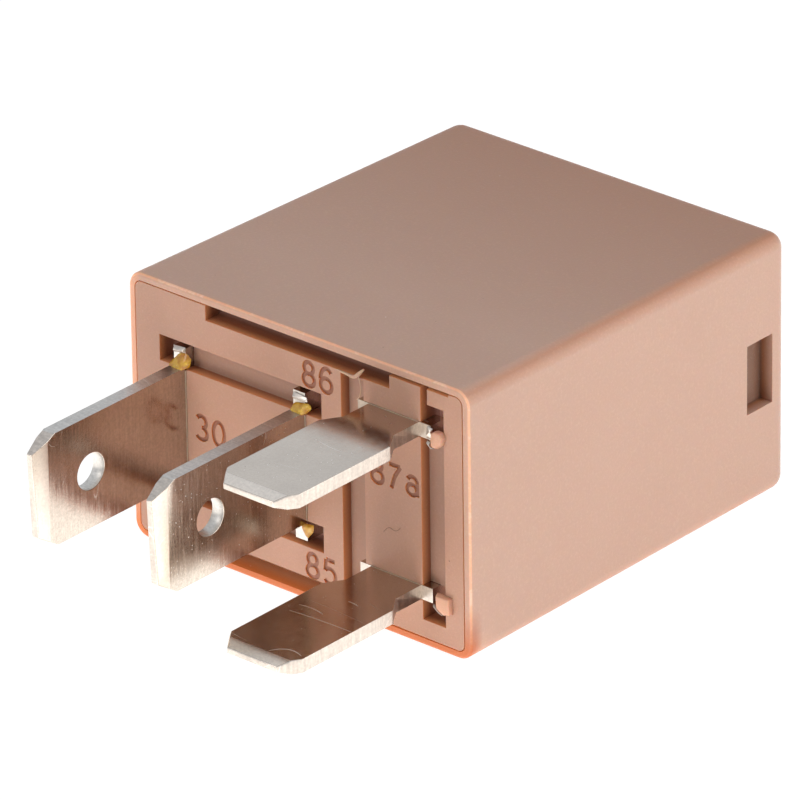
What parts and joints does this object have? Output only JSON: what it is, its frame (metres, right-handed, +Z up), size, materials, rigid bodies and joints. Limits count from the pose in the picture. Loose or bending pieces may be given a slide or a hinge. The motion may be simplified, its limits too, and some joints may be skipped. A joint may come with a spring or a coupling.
{
  "type": "automotive relay",
  "caption": "Plug-in automotive micro relay: moulded case and base, flat blade terminals, and inside it a coil with a hinged armature that closes a contact.",
  "frame": {"origin": "middle of the case's flat side that it rests on, halfway along the case's depth", "axes": "X across the terminal face, +Y from the blades to the case's closed end, +Z up from the side that it rests on"},
  "size_m": [0.023, 0.0371, 0.0152],
  "materials": {
    "cover_plastic": "fine matte moulded brown plastic",
    "base_plastic": "fine matte moulded brown plastic",
    "tinned_brass": "tin-plated stamped brass, satin",
    "plated_iron": "plated soft iron, satin",
    "bobbin_plastic": "moulded natural plastic",
    "enamelled_copper": "wound enamelled copper wire",
    "spring_bronze": "rolled spring bronze",
    "contact_silver": "polished silver alloy",
    "rivet_steel": "headed steel rivet",
    "resistor_coating": "lacquered resistor body",
    "tinned_wire": "tinned wire",
    "solder": "smooth solder"
  },
  "bodies": {
    "root": {"cover": "cover_plastic", "base": "base_plastic", "terminal_30": "tinned_brass", "terminal_87": "tinned_brass", "terminal_85": "tinned_brass", "terminal_86": "tinned_brass", "yoke": "plated_iron", "core": "plated_iron", "bobbin": "bobbin_plastic", "coil_winding": "enamelled_copper", "fixed_contact": "contact_silver", "yoke_rivets": "rivet_steel", "back_stop": "spring_bronze", "suppression_resistor": "resistor_coating", "resistor_leads": "tinned_wire", "solder_joints": "solder"},
    "armature": {"armature": "plated_iron", "contact_spring": "spring_bronze", "moving_contact": "contact_silver", "armature_rivets": "rivet_steel"}
  },
  "joints": [
    {"name": "armature_hinge", "type": "hinge", "parent": "root", "child": "armature", "pos_m": [-0.0092, 0.00808, 0.0076], "axis": [0, 0, -1], "range_deg": [0, 2], "stiffness_Nm_per_rad": 0.05, "springref_deg": -5.73, "deforming": ["contact_spring"]}
  ]
}
